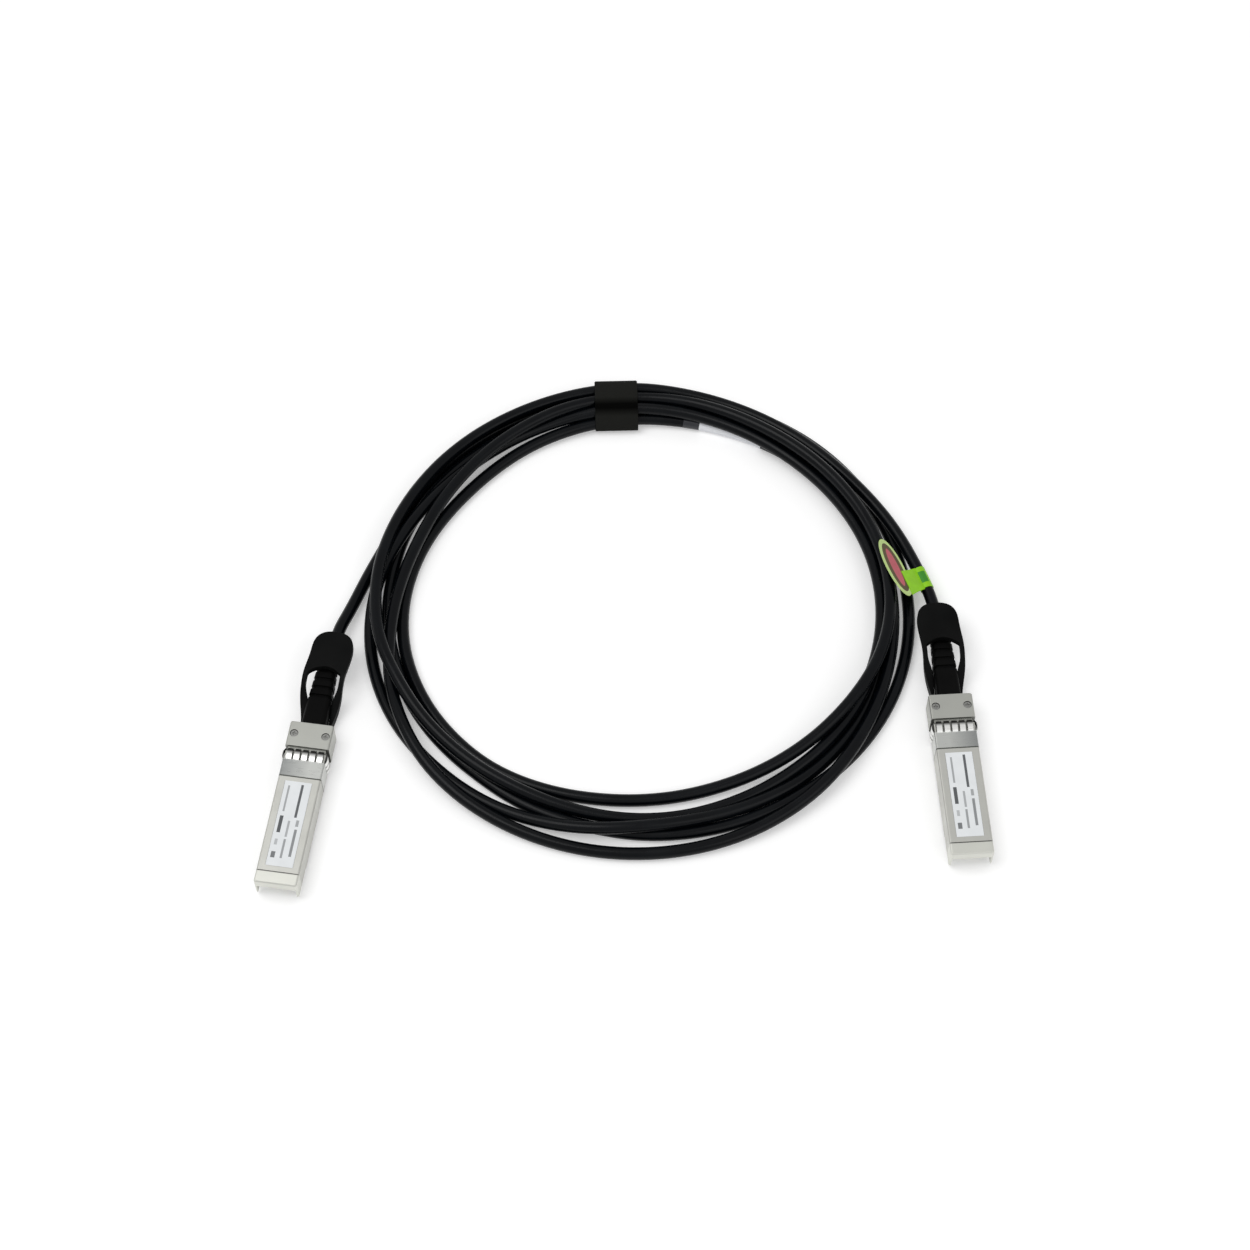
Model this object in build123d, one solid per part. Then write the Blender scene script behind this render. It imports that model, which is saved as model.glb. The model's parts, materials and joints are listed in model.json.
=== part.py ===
from build123d import *

import math
import os

# All sizes in millimetres.
# Plug frame: x = 0 at the rear face, +x to the mating end, z = 0 at the shell's underside.

# Plug shell
shell_length = 56.0
body_width = 13.4
body_height = 8.5
corner_radius = 0.6
rear_block = 8.5
block_overhang = 0.25
block_rounding = 0.4
side_wall = 1.2
top_wall = 1.2
floor_thickness = 1.4
split_height = 4.6
nose_opening = 10.4
nose_bar_depth = 3.6
nose_bar_drop = 2.0
nose_line_setback = 4.0
nose_line_width = 0.35
nose_line_depth = 0.25
nose_chamfer = 0.4
skirt_wall = 0.7
skirt_bottom = 1.1

# Spring-finger collar and the groove that its finger tips dip into
sheet = 0.2
collar_fit = 0.03
collar_leg_bottom = 1.0
groove_width = 1.9
groove_depth = 0.7
finger_run = 3.0
finger_margin = 0.625
finger_slit = 0.68
finger_count = 5
finger_bulge = 0.5
finger_lap = 0.3
tip_tuck = 0.9
tip_drop = 0.35
side_finger_count = 3
band_length = 5.6

# Label on the top face
label_side = 2.45
label_margin = 1.9
label_depth = 0.1
label_proud = 0.03

# Screws that join the shells
screw_setback = 4.1
screw_inset = 1.7
screw_shank = 1.4
screw_head = 2.3
screw_head_height = 0.7
screw_sink = 0.95
screw_head_gap = 0.15
screw_shank_gap = 0.1
screw_thread_gap = 0.02
screw_bite = 3.0
drive_length = 1.4
drive_width = 0.35
drive_depth = 0.35

# Latch boss and release slider on the underside
latch_step = 2.5
boss_width = 2.6
boss_length = 2.6
boss_height = 0.45
boss_crest = 0.6
channel_width = 6.3
channel_depth = 0.75
channel_spare = 0.8
slider_thickness = 0.5
slider_gap = 0.1
slider_side_gap = 0.2
slot_gap = 0.25
slot_spare = 0.9
slider_tail = 3.0
ear_span = 9.9
ear_gap = 0.6
fork_ramp = 0.35

# Return spring, in a pocket under the ferrule
spring_shut = 2.9
spring_diameter = 1.05
spring_wire = 0.18
spring_wire_sides = 6
spring_turns = 7
spring_gap = 0.05
pocket_rear = 2.6
pocket_spare = 0.4
tab_thickness = 0.4
tab_width = 1.0

# Cable and its end inside the plug
cable_diameter = 4.0
braid_diameter = 3.3
ferrule_wall = 0.6
ferrule_length = 5.6
ferrule_gap = 0.5
ferrule_fit = 0.05
crimp_fit = 0.03
braid_stub = 0.7
cavity_wall = 1.0
core_diameter = 0.8
core_spread = 1.5
core_lead = 1.6
core_lap = 3.2
core_bend = 3.0
solder_gap = 0.02

# Paddle card
card_setback = 3.2
core_room = 11.5
card_side_gap = 0.9
card_thickness = 1.0
card_height = 2.25
card_bevel = 0.25
rail_lap = 0.7
clamp_length = 9.0
clamp_setback = 9.0
clamp_gap = 0.05
contact_count = 10
contact_margin = 0.6
contact_width = 0.5
contact_length = 2.3
contact_thickness = 0.05
contact_inset = 0.35
chip_size = 3.0
chip_height = 0.75
chip_step = 1.0
capacitor_length = 1.0
capacitor_width = 0.5
capacitor_height = 0.5
capacitor_step = 7.6

# Strain-relief boot
tongue_length = 2.4
tongue_side = 2.8
tongue_height = 5.2
tongue_fit = 0.05
boot_length = 24.0
boot_base_width = 7.8
boot_base_height = 6.6
boot_shoulder = 10.0
boot_shoulder_width = 7.4
boot_shoulder_height = 6.2
boot_end_width = 6.2
boot_end_height = 5.0
boot_edge = 1.5
boot_cuff = 3.3
rib_groove = 1.25
rib_depth = 0.6
rib_count = 4
mould_gap = 0.03

# Pull tab
foot_gap = 0.5
foot_length = 2.9
foot_inner = 4.3
arm_thickness = 1.3
arm_inner = 5.2
arm_height = 3.1
foot_bottom = 0.05
waist_setback = 12.5
arch_setback = 20.5
arch_depth = 2.2
pad_length = 12.8
pad_thickness = 2.2
pad_clearance = 0.5
pad_corner = 4.8
tab_rounding = 0.6

# Release travel
release_travel = 2.5

# Where the two plugs lie: rear centre on the table and turn of the plug
left_rear = (-97.7, -40.0)
left_turn = -8.2
right_rear = (102.3, -29.4)
right_turn = 3.5

# Cable tails: the straight stretch behind each boot, then how far out of the coil's rim, at what angle and height
exit_lead = 11.0
left_route = ((4.9, 180.0, 2.6), (0.6, 171.0, 2.2), (-2.1, 161.6, 2.6))
right_route = ((2.5, 9.5, 2.6), (0.4, 18.8, 2.2), (-2.0, 28.6, 2.6), (-2.3, 38.3, 3.0))

# Coil of five turns, as a ring with a round outside and a slightly oval inside
coil_centre = (5.0, 5.5)
coil_radius = 88.7
coil_layers = 2
hole_shift = (0.9, 3.4)
side_wind = 12.7
bottom_wind = 17.7
coil_crown = 3.0
coil_chamfer = 1.0

# Hook-and-loop tie round the top of the coil
tie_angle = 95.6
tie_width = 14.5
tie_thickness = 1.0
tie_bundle = 14.5
tie_corner = 3.0
tie_gap = 0.1

# White wrap label on the innermost turn
wrap_inset = 12.1
wrap_start = 57.0
wrap_sweep = 21.0
wrap_thickness = 0.15
wrap_gap = 0.05

# Green flag tag on the right tail
flag_start = 0.33
flag_band = 8.5
flag_thickness = 0.3
flag_gap = 0.12
flag_tilt = 40.0
flag_reach = 8.9
flag_slip = 8.0
flag_long = 23.0
flag_short = 10.0

# Worked out from the sizes above
screw_spread = body_width - 2 * screw_inset
finger_pitch = (body_width - 2 * finger_margin) / finger_count
finger_width = finger_pitch - finger_slit
label_width = body_width - 2 * label_side
groove_front = rear_block + groove_width
band_start = groove_front + finger_run
band_end = band_start + band_length
nose_line = shell_length - nose_line_setback
tray_length = shell_length - nose_opening
tongue_width = body_width - 2 * tongue_side
cavity_rear = rear_block + cavity_wall
cavity_width = body_width - 2 * side_wall
latch_x = rear_block + latch_step
slider_top = channel_depth - slider_gap
slider_bottom = slider_top - slider_thickness
slider_width = channel_width - 2 * slider_side_gap
channel_front = latch_x + boss_length + channel_spare
card_front = shell_length - card_setback
card_rear = cavity_rear + core_room
card_width = cavity_width - 2 * card_side_gap
card_top = card_height + card_thickness
core_end = card_rear + core_lap
capacitor_front = core_end + capacitor_step + capacitor_length
chip_front = capacitor_front + chip_step + chip_size
contact_pitch = (card_width - 2 * contact_margin) / contact_count
rib_pitch = (boot_length - boot_shoulder - rib_groove - boot_cuff) / (rib_count - 1)
ferrule_diameter = braid_diameter + 2 * crimp_fit + 2 * ferrule_wall
cable_radius = cable_diameter / 2
spring_length = spring_shut + release_travel
spring_axis = slider_top + spring_gap + spring_diameter / 2
spring_end = pocket_rear + 2 * spring_gap + spring_length
pocket_front = spring_end + tab_thickness + pocket_spare
pocket_top = spring_axis + spring_diameter / 2 + spring_gap
coil_height = coil_layers * cable_diameter
hole_centre = (coil_centre[0] + hole_shift[0], coil_centre[1] + hole_shift[1])
hole_radius_x = coil_radius - side_wind
hole_radius_y = coil_radius - bottom_wind
wrap_radius = coil_radius - wrap_inset
plug_lift = boss_height


def block(x_low, x_high, width, z_low, z_high, y_mid=0.0):
    centre = Pos((x_low + x_high) / 2, y_mid, (z_low + z_high) / 2)
    return centre * Box(x_high - x_low, width, z_high - z_low)


def shell_section(inset, overhang=0.0):
    radius = max(corner_radius - inset, corner_radius / 6)
    width = body_width + 2 * overhang - 2 * inset
    return Plane.YZ * Pos(0, body_height / 2) * RectangleRounded(width, body_height - 2 * inset, radius)


def rod(x_low, x_high, diameter, y_mid, z_mid):
    return extrude(Plane.YZ * Pos(y_mid, z_mid) * Circle(diameter / 2), x_high - x_low).moved(Pos(x_low, 0, 0))


def shell_blank():
    body = extrude(shell_section(0), shell_length)
    body = chamfer(body.faces().sort_by(Axis.X)[-1].edges(), nose_chamfer)
    rear = extrude(shell_section(0, block_overhang), rear_block)
    rear = fillet(rear.faces().sort_by(Axis.X)[0].edges(), block_rounding)
    return body + rear


def skin_band(x_low, x_high, depth):
    outside = block(x_low, x_high, 2 * body_width, collar_leg_bottom, 2 * body_height)
    core = extrude(shell_section(depth), x_high - x_low).moved(Pos(x_low, 0, 0))
    return outside - core


def shell_room():
    far = 2 * body_height
    tongue_z = (split_height - tongue_height / 2 - tongue_fit, split_height + tongue_height / 2 + tongue_fit)
    tongue = block(-1, tongue_length, tongue_width + 2 * tongue_fit, *tongue_z)
    ferrule = rod(tongue_length, cavity_rear, ferrule_diameter + 2 * ferrule_fit, 0, split_height)
    cavity = block(cavity_rear, shell_length - nose_bar_depth, cavity_width, floor_thickness, body_height - top_wall)
    mouth_top = card_top + nose_bar_drop
    mouth = block(tray_length, shell_length + 1, body_width - 2 * skirt_wall, -far, mouth_top)
    groove = skin_band(rear_block, groove_front, groove_depth)
    recess = skin_band(groove_front, band_end + collar_fit, sheet + collar_fit)
    return tongue + ferrule + cavity + mouth + groove + recess


def screw_places():
    return [Pos(screw_setback, side * screw_spread / 2, 0) for side in (-1, 1)]


def upper_shell():
    far = 2 * body_width
    below = block(-1, tray_length, far, -far, split_height)
    below += block(tray_length, shell_length + 1, far, -far, skirt_bottom)
    shell = shell_blank() - below - shell_room()
    line = (nose_line - nose_line_width / 2, nose_line + nose_line_width / 2)
    shell -= block(*line, far, body_height - nose_line_depth, 2 * body_height)
    shell -= block(*label_span(), label_width, body_height - label_depth, 2 * body_height)
    for place in screw_places():
        sink = Cylinder(screw_head / 2 + screw_head_gap, 2 * screw_sink)
        shell -= place * Pos(0, 0, body_height) * sink
        shell -= place * Pos(0, 0, body_height) * Cylinder(screw_shank / 2 + screw_shank_gap, 2 * body_height)
    clamp_front = tray_length - clamp_setback
    clamp_width = (cavity_width - card_width) / 2 + rail_lap
    for side in (-1, 1):
        clamp_y = side * (cavity_width - clamp_width) / 2
        clamp_z = (card_top + clamp_gap, body_height - top_wall)
        shell += block(clamp_front - clamp_length, clamp_front, clamp_width, *clamp_z, clamp_y)
    return shell


def label_span():
    return (band_end + label_margin, nose_line - label_margin)


def latch_boss():
    crest = latch_x + boss_crest
    front = latch_x + boss_length
    outline = [(latch_x, channel_depth), (latch_x, -boss_height), (crest, -boss_height)]
    outline += [(front, 0), (front, channel_depth)]
    return extrude(Plane.XZ * make_face(Polyline(*outline, close=True)), boss_width / 2, both=True)


def lower_shell():
    far = 2 * body_width
    shell = shell_blank() & block(-1, tray_length, far, -1, split_height)
    shell -= shell_room()
    rail_width = (cavity_width - card_width) / 2 + rail_lap
    for side in (-1, 1):
        rail_y = side * (cavity_width - rail_width) / 2
        shell += block(card_rear, tray_length, rail_width, floor_thickness, card_height, rail_y)
    shell -= block(-1, channel_front, channel_width, -1, channel_depth)
    shell += latch_boss()
    shell -= block(pocket_rear, pocket_front, spring_diameter + 2 * spring_gap, 0, pocket_top)
    for place in screw_places():
        hole = Cylinder(screw_shank / 2 + screw_thread_gap, 2 * screw_bite)
        shell -= place * Pos(0, 0, split_height) * hole
    return shell


def finger():
    start = (band_start + finger_lap, -sheet / 2)
    tip = (groove_front - tip_tuck, -tip_drop)
    crown = ((start[0] + tip[0]) / 2, finger_bulge)
    strip = Plane.XZ * trace(ThreePointArc(start, crown, tip), sheet)
    return extrude(strip, finger_width / 2, both=True)


def emi_collar():
    band = extrude(shell_section(0) - shell_section(sheet), band_length).moved(Pos(band_start, 0, 0))
    collar = band - block(band_start - 1, band_end + 1, 2 * body_width, -1, collar_leg_bottom)
    one = finger()
    for index in range(finger_count):
        offset = (index - (finger_count - 1) / 2) * finger_pitch
        collar += Pos(0, offset, body_height) * one
    leg_middle = (body_height + collar_leg_bottom) / 2
    for index in range(side_finger_count):
        height = leg_middle + (index - (side_finger_count - 1) / 2) * finger_pitch
        collar += Pos(0, body_width / 2, height) * Rot(-90, 0, 0) * one
        collar += Pos(0, -body_width / 2, height) * Rot(90, 0, 0) * one
    return collar


def face_label():
    low = body_height - label_depth
    return block(*label_span(), label_width - label_depth, low, body_height + label_proud)


def shell_screws():
    seat = body_height - screw_sink
    head = Pos(0, 0, seat + screw_head_height / 2) * Cylinder(screw_head / 2, screw_head_height)
    drive = Box(drive_length, drive_width, 2 * drive_depth) + Box(drive_width, drive_length, 2 * drive_depth)
    head -= Pos(0, 0, seat + screw_head_height) * drive
    low = split_height - screw_bite + screw_thread_gap
    shank = Pos(0, 0, (low + seat) / 2) * Cylinder(screw_shank / 2, seat - low)
    one = head + shank
    return Compound([place * one for place in screw_places()])


def release_slider():
    fork_front = channel_front - slot_spare / 2
    slot_width = boss_width + 2 * slot_gap
    levels = (slider_bottom, slider_top)
    slider = block(-slider_tail, fork_front, slider_width, *levels)
    slider -= block(latch_x - slot_spare, fork_front + 1, slot_width, -1, body_height)
    tips = slider.faces().sort_by(Axis.X)[-2:].edges().group_by(Axis.Z)[0]
    slider = chamfer(tips, fork_ramp)
    slider += block(-slider_tail, -ear_gap, ear_span, *levels)
    tab_top = spring_axis + spring_diameter / 2
    slider += block(spring_end, spring_end + tab_thickness, tab_width, slider_bottom, tab_top)
    return slider


def return_spring():
    radius = (spring_diameter - spring_wire) / 2
    height = spring_length - spring_wire
    start = pocket_rear + spring_gap + spring_wire / 2
    path = Helix(height / spring_turns, height, radius, center=(start, 0, spring_axis), direction=(1, 0, 0))
    wire = Plane(origin=path @ 0, z_dir=path % 0) * RegularPolygon(spring_wire / 2, spring_wire_sides)
    return sweep(wire, path, is_frenet=True)


def boot_section(x, width, height, inset=0.0):
    radius = boot_edge - inset / 2
    plane = Plane.YZ.offset(x)
    return plane * Pos(0, split_height) * RectangleRounded(width - 2 * inset, height - 2 * inset, radius)


def boot_loft(inset):
    base = boot_section(0, boot_base_width, boot_base_height, inset)
    shoulder = boot_section(-boot_shoulder, boot_shoulder_width, boot_shoulder_height, inset)
    end = boot_section(-boot_length, boot_end_width, boot_end_height, inset)
    return loft([base, shoulder, end], ruled=True)


def strain_boot():
    boot = boot_loft(0)
    core = boot_loft(rib_depth)
    for index in range(rib_count):
        middle = -boot_shoulder - rib_groove / 2 - index * rib_pitch
        low = middle - rib_groove / 2
        slab = block(low, low + rib_groove, 2 * boot_base_width, -body_height, 2 * body_height)
        boot -= slab - core
    boot = fillet(boot.faces().sort_by(Axis.X)[0].edges(), rib_depth)
    tongue_low = split_height - tongue_height / 2
    boot += block(0, tongue_length, tongue_width, tongue_low, tongue_low + tongue_height)
    return boot - rod(-boot_length - 1, tongue_length + 1, cable_diameter + 2 * mould_gap, 0, split_height)


def pull_tab_plan():
    foot_front = -foot_gap
    foot_rear = foot_front - foot_length
    foot_outer = foot_inner + arm_thickness
    arm_outer = arm_inner + arm_thickness
    pad_rear = -arch_setback - pad_length
    arch_side = -arch_setback + arch_depth
    back = (-1, 0)
    right = [Line((foot_front, foot_outer), (foot_rear, foot_outer))]
    right += [Spline((foot_rear, foot_outer), (-waist_setback, arm_outer), tangents=(back, back))]
    right += [Line((-waist_setback, arm_outer), (pad_rear + pad_corner, arm_outer))]
    right += [RadiusArc((pad_rear + pad_corner, arm_outer), (pad_rear, arm_outer - pad_corner), -pad_corner)]
    inner = [Line((foot_front, foot_inner), (foot_rear, foot_inner))]
    inner += [Spline((foot_rear, foot_inner), (-waist_setback, arm_inner), tangents=(back, back))]
    inner += [Line((-waist_setback, arm_inner), (arch_side, arm_inner))]
    half = right + inner + [Line((foot_front, foot_inner), (foot_front, foot_outer))]
    arch = ThreePointArc((arch_side, arm_inner), (-arch_setback, 0), (arch_side, -arm_inner))
    far = Line((pad_rear, arm_outer - pad_corner), (pad_rear, pad_corner - arm_outer))
    edges = half + [mirror(edge, about=Plane.XZ) for edge in half] + [arch, far]
    return make_face(edges)


def boot_top(setback):
    share = (setback - boot_shoulder) / (boot_length - boot_shoulder)
    height = boot_shoulder_height + share * (boot_end_height - boot_shoulder_height)
    return split_height + height / 2


def pull_tab_side():
    pad_low = boot_top(arch_setback - arch_depth) + pad_clearance
    pad_high = pad_low + pad_thickness
    foot_front = -foot_gap
    foot_rear = foot_front - foot_length
    pad_rear = -arch_setback - pad_length
    arch_side = -arch_setback + arch_depth
    top = foot_bottom + arm_height
    outline = [(foot_front, foot_bottom), (foot_front, top), (foot_rear, top), (arch_side, pad_high)]
    outline += [(pad_rear - 1, pad_high), (pad_rear - 1, pad_low), (-arch_setback, pad_low)]
    outline += [(foot_rear, foot_bottom)]
    return make_face(Polyline(*outline, close=True))


def pull_tab(slider):
    plan = extrude(pull_tab_plan(), 2 * body_height)
    side = extrude(Plane.XZ * pull_tab_side(), body_width, both=True)
    tab = plan & side
    tab = fillet(tab.faces().sort_by(Axis.Z)[-1].edges(), tab_rounding)
    return tab - slider


def paddle_card():
    card = block(card_rear, card_front, card_width, card_height, card_top)
    return chamfer(card.faces().sort_by(Axis.X)[-1].edges().filter_by(Axis.Y), card_bevel)


def edge_contacts():
    front = card_front - contact_inset
    pads = []
    for index in range(contact_count):
        offset = (index - (contact_count - 1) / 2) * contact_pitch
        for low in (card_top, card_height - contact_thickness):
            high = low + contact_thickness
            pads.append(block(front - contact_length, front, contact_width, low, high, offset))
    return Compound(pads)


def memory_chip():
    chip = block(chip_front - chip_size, chip_front, chip_size, card_top, card_top + chip_height)
    return chamfer(chip.faces().sort_by(Axis.Z)[-1].edges(), chip_height / 5)


def coupling_capacitors():
    rear = capacitor_front - capacitor_length
    levels = (card_top, card_top + capacitor_height)
    places = (-core_spread / 2, core_spread / 2)
    return Compound([block(rear, capacitor_front, capacitor_width, *levels, y) for y in places])


def twinax_cores():
    start = cavity_rear + braid_stub
    radius = core_diameter / 2
    cores = []
    for high, seat in ((1, card_top + radius + solder_gap), (-1, card_height - radius - solder_gap)):
        level = split_height + high * core_spread / 2
        bend = (start + core_lead, card_rear - core_lead)
        for side in (-1, 1):
            y = side * core_spread / 2
            points = [(start, y, level), (bend[0], y, level), (bend[1], y, seat), (core_end, y, seat)]
            path = FilletPolyline(*points, radius=core_bend)
            cores.append(sweep(Plane(origin=path @ 0, z_dir=path % 0) * Circle(radius), path))
    return Compound(cores)


def shield_braid():
    return rod(tongue_length, cavity_rear + braid_stub, braid_diameter, 0, split_height)


def crimp_ferrule():
    low = tongue_length + ferrule_gap
    ring = rod(low, low + ferrule_length, ferrule_diameter, 0, split_height)
    return ring - rod(low - 1, low + ferrule_length + 1, braid_diameter + 2 * crimp_fit, 0, split_height)


def jacket_end():
    return rod(-boot_length, tongue_length, cable_diameter, 0, split_height)


def plug_pieces():
    slider = release_slider()
    return {
        "upper_shell": upper_shell(),
        "lower_shell": lower_shell(),
        "emi_collar": emi_collar(),
        "face_label": face_label(),
        "shell_screws": shell_screws(),
        "release_slider": slider,
        "return_spring": return_spring(),
        "strain_boot": strain_boot(),
        "pull_tab": pull_tab(slider),
        "paddle_card": paddle_card(),
        "edge_contacts": edge_contacts(),
        "memory_chip": memory_chip(),
        "coupling_capacitors": coupling_capacitors(),
        "twinax_cores": twinax_cores(),
        "shield_braid": shield_braid(),
        "crimp_ferrule": crimp_ferrule(),
        "jacket_end": jacket_end(),
    }


def plug_frame(rear, turn):
    return Pos(rear[0], rear[1], plug_lift) * Rot(0, 0, turn - 90)


def cable_lead(rear, turn):
    frame = plug_frame(rear, turn)
    setbacks = (boot_length, boot_length + exit_lead)
    return [(frame * Pos(-setback, 0, split_height)).position for setback in setbacks]


def coil_point(outset, angle, height):
    frame = Pos(*coil_centre, height) * Rot(0, 0, angle)
    return (frame * Pos(coil_radius + outset, 0, 0)).position


def tail_path(points):
    corners = [Vector(point) for point in points]
    radii = []
    for before, at, after in zip(corners, corners[1:], corners[2:]):
        run = min((at - before).length, (after - at).length)
        half_turn = math.radians((at - before).get_angle(after - at)) / 2
        radii.append(0.45 * run / math.tan(half_turn))
    print("tail bend radii", [round(radius, 1) for radius in radii])
    return FilletPolyline(*corners, radius=radii)


def tail(points):
    path = tail_path(points)
    tube = sweep(Plane(origin=path @ 0, z_dir=path % 0) * Circle(cable_radius), path)
    print("tail volume", round(tube.volume, 1), "section x length", round(math.pi * cable_radius**2 * path.length, 1))
    return tube


def coil_ring():
    ring = Pos(*coil_centre, coil_height / 2) * Cylinder(coil_radius, coil_height)
    hole = extrude(Ellipse(hole_radius_x, hole_radius_y), coil_height)
    ring -= Pos(*hole_centre, 0) * hole
    ring = chamfer(ring.edges().group_by(Axis.Z)[-1], coil_crown)
    return chamfer(ring.edges().group_by(Axis.Z)[0], coil_chamfer)


def tie_frame():
    return Pos(*coil_centre, 0) * Rot(0, 0, tie_angle)


def tie_prism(grow, width):
    reach = tie_bundle + 2 * tie_gap
    middle = coil_radius - tie_bundle / 2
    section = RectangleRounded(reach + 2 * grow, coil_height + 2 * grow, tie_corner + grow)
    prism = Plane.XZ * Pos(middle, coil_height / 2 + tie_thickness) * section
    return tie_frame() * extrude(prism, width / 2, both=True)


def hook_loop_tie():
    return tie_prism(tie_thickness, tie_width) - tie_prism(0, 2 * tie_width)


def wrap_solid(radius):
    height = cable_radius + wrap_gap + wrap_thickness
    ring = revolve(Plane.XZ * Pos(wrap_radius, height) * Circle(radius), Axis.Z, wrap_sweep)
    return Pos(*coil_centre, 0) * Rot(0, 0, wrap_start) * ring


def cable_label():
    inner = cable_radius + wrap_gap
    return wrap_solid(inner + wrap_thickness) - wrap_solid(inner)


def coil():
    zone = tie_prism(4 * tie_thickness, tie_width + 2 * tie_gap)
    waist = tie_prism(-tie_gap, tie_width + 2 * tie_gap)
    ring = coil_ring() - zone + waist
    return ring - wrap_solid(cable_radius + 2 * wrap_gap + wrap_thickness)


def flag_tag(points):
    low, high = Vector(points[1]), Vector(points[2])
    along = (high - low).normalized()
    start = low + (high - low) * flag_start
    inner = cable_radius + flag_gap
    band = extrude(Plane(start, z_dir=along) * Circle(inner + flag_thickness), flag_band)
    crest = start + along * (flag_band / 2) + Vector(0, 0, inner + flag_thickness / 2)
    leaf = Plane(crest, x_dir=Vector(along.X, along.Y, 0), z_dir=(0, 0, 1))
    strip = Pos(0, flag_reach / 2) * Rectangle(flag_band, flag_reach)
    oval = Pos(flag_slip, flag_reach) * Ellipse(flag_long / 2, flag_short / 2)
    flap = extrude(leaf * Rot(flag_tilt, 0, 0) * (strip + oval), flag_thickness / 2, both=True)
    bore = extrude(Plane(start - along * flag_band, z_dir=along) * Circle(inner), 3 * flag_band)
    return band + flap - bore


left_points = cable_lead(left_rear, left_turn) + [coil_point(*place) for place in left_route]
right_points = cable_lead(right_rear, right_turn) + [coil_point(*place) for place in right_route]

nodes = {}
plug = plug_pieces()
for side, rear, turn in (("left", left_rear, left_turn), ("right", right_rear, right_turn)):
    for name, piece in plug.items():
        nodes[side + "_" + name] = plug_frame(rear, turn) * piece
nodes["left_tail"] = tail(left_points)
nodes["right_tail"] = tail(right_points)
nodes["coil"] = coil()
nodes["hook_loop_tie"] = hook_loop_tie()
nodes["cable_label"] = cable_label()
nodes["flag_tag"] = flag_tag(right_points)

os.makedirs("parts", exist_ok=True)
for name, shape in nodes.items():
    export_step(shape, "parts/" + name + ".step")
print(len(nodes), "pieces written")
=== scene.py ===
import json
import math

import bpy
import numpy as np
from mathutils import Matrix, Vector


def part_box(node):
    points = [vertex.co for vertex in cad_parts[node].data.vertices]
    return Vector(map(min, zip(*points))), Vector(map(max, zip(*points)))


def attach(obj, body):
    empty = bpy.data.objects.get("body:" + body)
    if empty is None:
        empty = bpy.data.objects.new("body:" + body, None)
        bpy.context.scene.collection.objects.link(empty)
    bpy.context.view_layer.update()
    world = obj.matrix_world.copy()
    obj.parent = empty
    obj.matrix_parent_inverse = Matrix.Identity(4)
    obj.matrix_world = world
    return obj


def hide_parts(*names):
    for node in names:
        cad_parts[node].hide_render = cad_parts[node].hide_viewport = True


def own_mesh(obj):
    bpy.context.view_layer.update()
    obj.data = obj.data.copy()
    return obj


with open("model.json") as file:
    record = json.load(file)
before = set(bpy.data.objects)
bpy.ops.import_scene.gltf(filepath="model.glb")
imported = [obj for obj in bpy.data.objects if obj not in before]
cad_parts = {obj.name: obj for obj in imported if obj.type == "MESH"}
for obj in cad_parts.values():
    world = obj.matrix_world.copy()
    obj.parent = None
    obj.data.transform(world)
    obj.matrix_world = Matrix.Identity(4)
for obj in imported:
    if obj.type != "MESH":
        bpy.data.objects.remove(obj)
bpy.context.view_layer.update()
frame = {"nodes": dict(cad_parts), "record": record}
nodes = frame["nodes"]
print("frame loaded:", len(nodes), "nodes")

mm = 0.001
plugLift = 0.45  # the plugs stand on their latch bosses
plugFacing = -90.0  # degrees, mating ends to the front of the table
plugPlace = {  # rear centre on the table in mm, turn in degrees
    "left": {"rear": (-97.7, -40.0), "turn": -8.2},
    "right": {"rear": (102.3, -29.4), "turn": 3.5},
}


def plugMatrix(side):  # x runs from the rear face to the mating end, y to the right seen from behind
    spot = plugPlace[side]
    turned = Matrix.Rotation(math.radians(spot["turn"] + plugFacing), 4, "Z")
    return Matrix.Translation(Vector((*spot["rear"], plugLift)) * mm) @ turned


def clearSelection():
    if bpy.context.object and bpy.context.object.mode != "OBJECT":
        bpy.ops.object.mode_set(mode="OBJECT")
    bpy.ops.object.select_all(action="DESELECT")


def pickOnly(piece):
    clearSelection()
    piece.select_set(True)
    bpy.context.view_layer.objects.active = piece


def applyAll(piece):
    pickOnly(piece)
    for modifier in list(piece.modifiers):
        bpy.ops.object.modifier_apply(modifier=modifier.name)


def addObject(name, data):
    thing = bpy.data.objects.new(name, data)
    bpy.context.scene.collection.objects.link(thing)
    return thing


def roundLine(name, kind, points, radius, sides, resolution=12, capped=True):  # a round bar
    line = bpy.data.curves.new(name, "CURVE")
    line.dimensions = "3D"
    line.resolution_u = resolution
    line.bevel_depth = radius
    line.bevel_resolution = sides
    line.use_fill_caps = capped
    spline = line.splines.new(kind)
    spline.points.add(len(points) - 1)
    for point, place in zip(spline.points, points):
        point.co = (*place, 1)
    if kind == "NURBS":
        spline.order_u = 3
        spline.use_endpoint_u = True
    return addObject(name, line)


def toMesh(piece, crease):  # edges that turn by more than the crease stay sharp
    pickOnly(piece)
    bpy.ops.object.convert(target="MESH")
    bpy.ops.object.shade_smooth_by_angle(angle=math.radians(crease))


def thicken(piece, thick, side, rounding, segments):  # side: 1 grows outwards only, 0 both ways
    solid = piece.modifiers.new("thickness", "SOLIDIFY")
    solid.thickness = thick * mm
    solid.offset = side
    soft = piece.modifiers.new("softEdge", "BEVEL")
    soft.width = rounding * mm
    soft.segments = segments
    soft.limit_method = "ANGLE"
    applyAll(piece)


shading = {
    "edgeRays": 4,
    "wornFrom": 0.98,   # cosine of the turn at which an edge starts to shine
    "wornFull": 0.75,
    # rays for the painted shade in grooves and slits
    "paintedShadeRays": 6,
}


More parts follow.
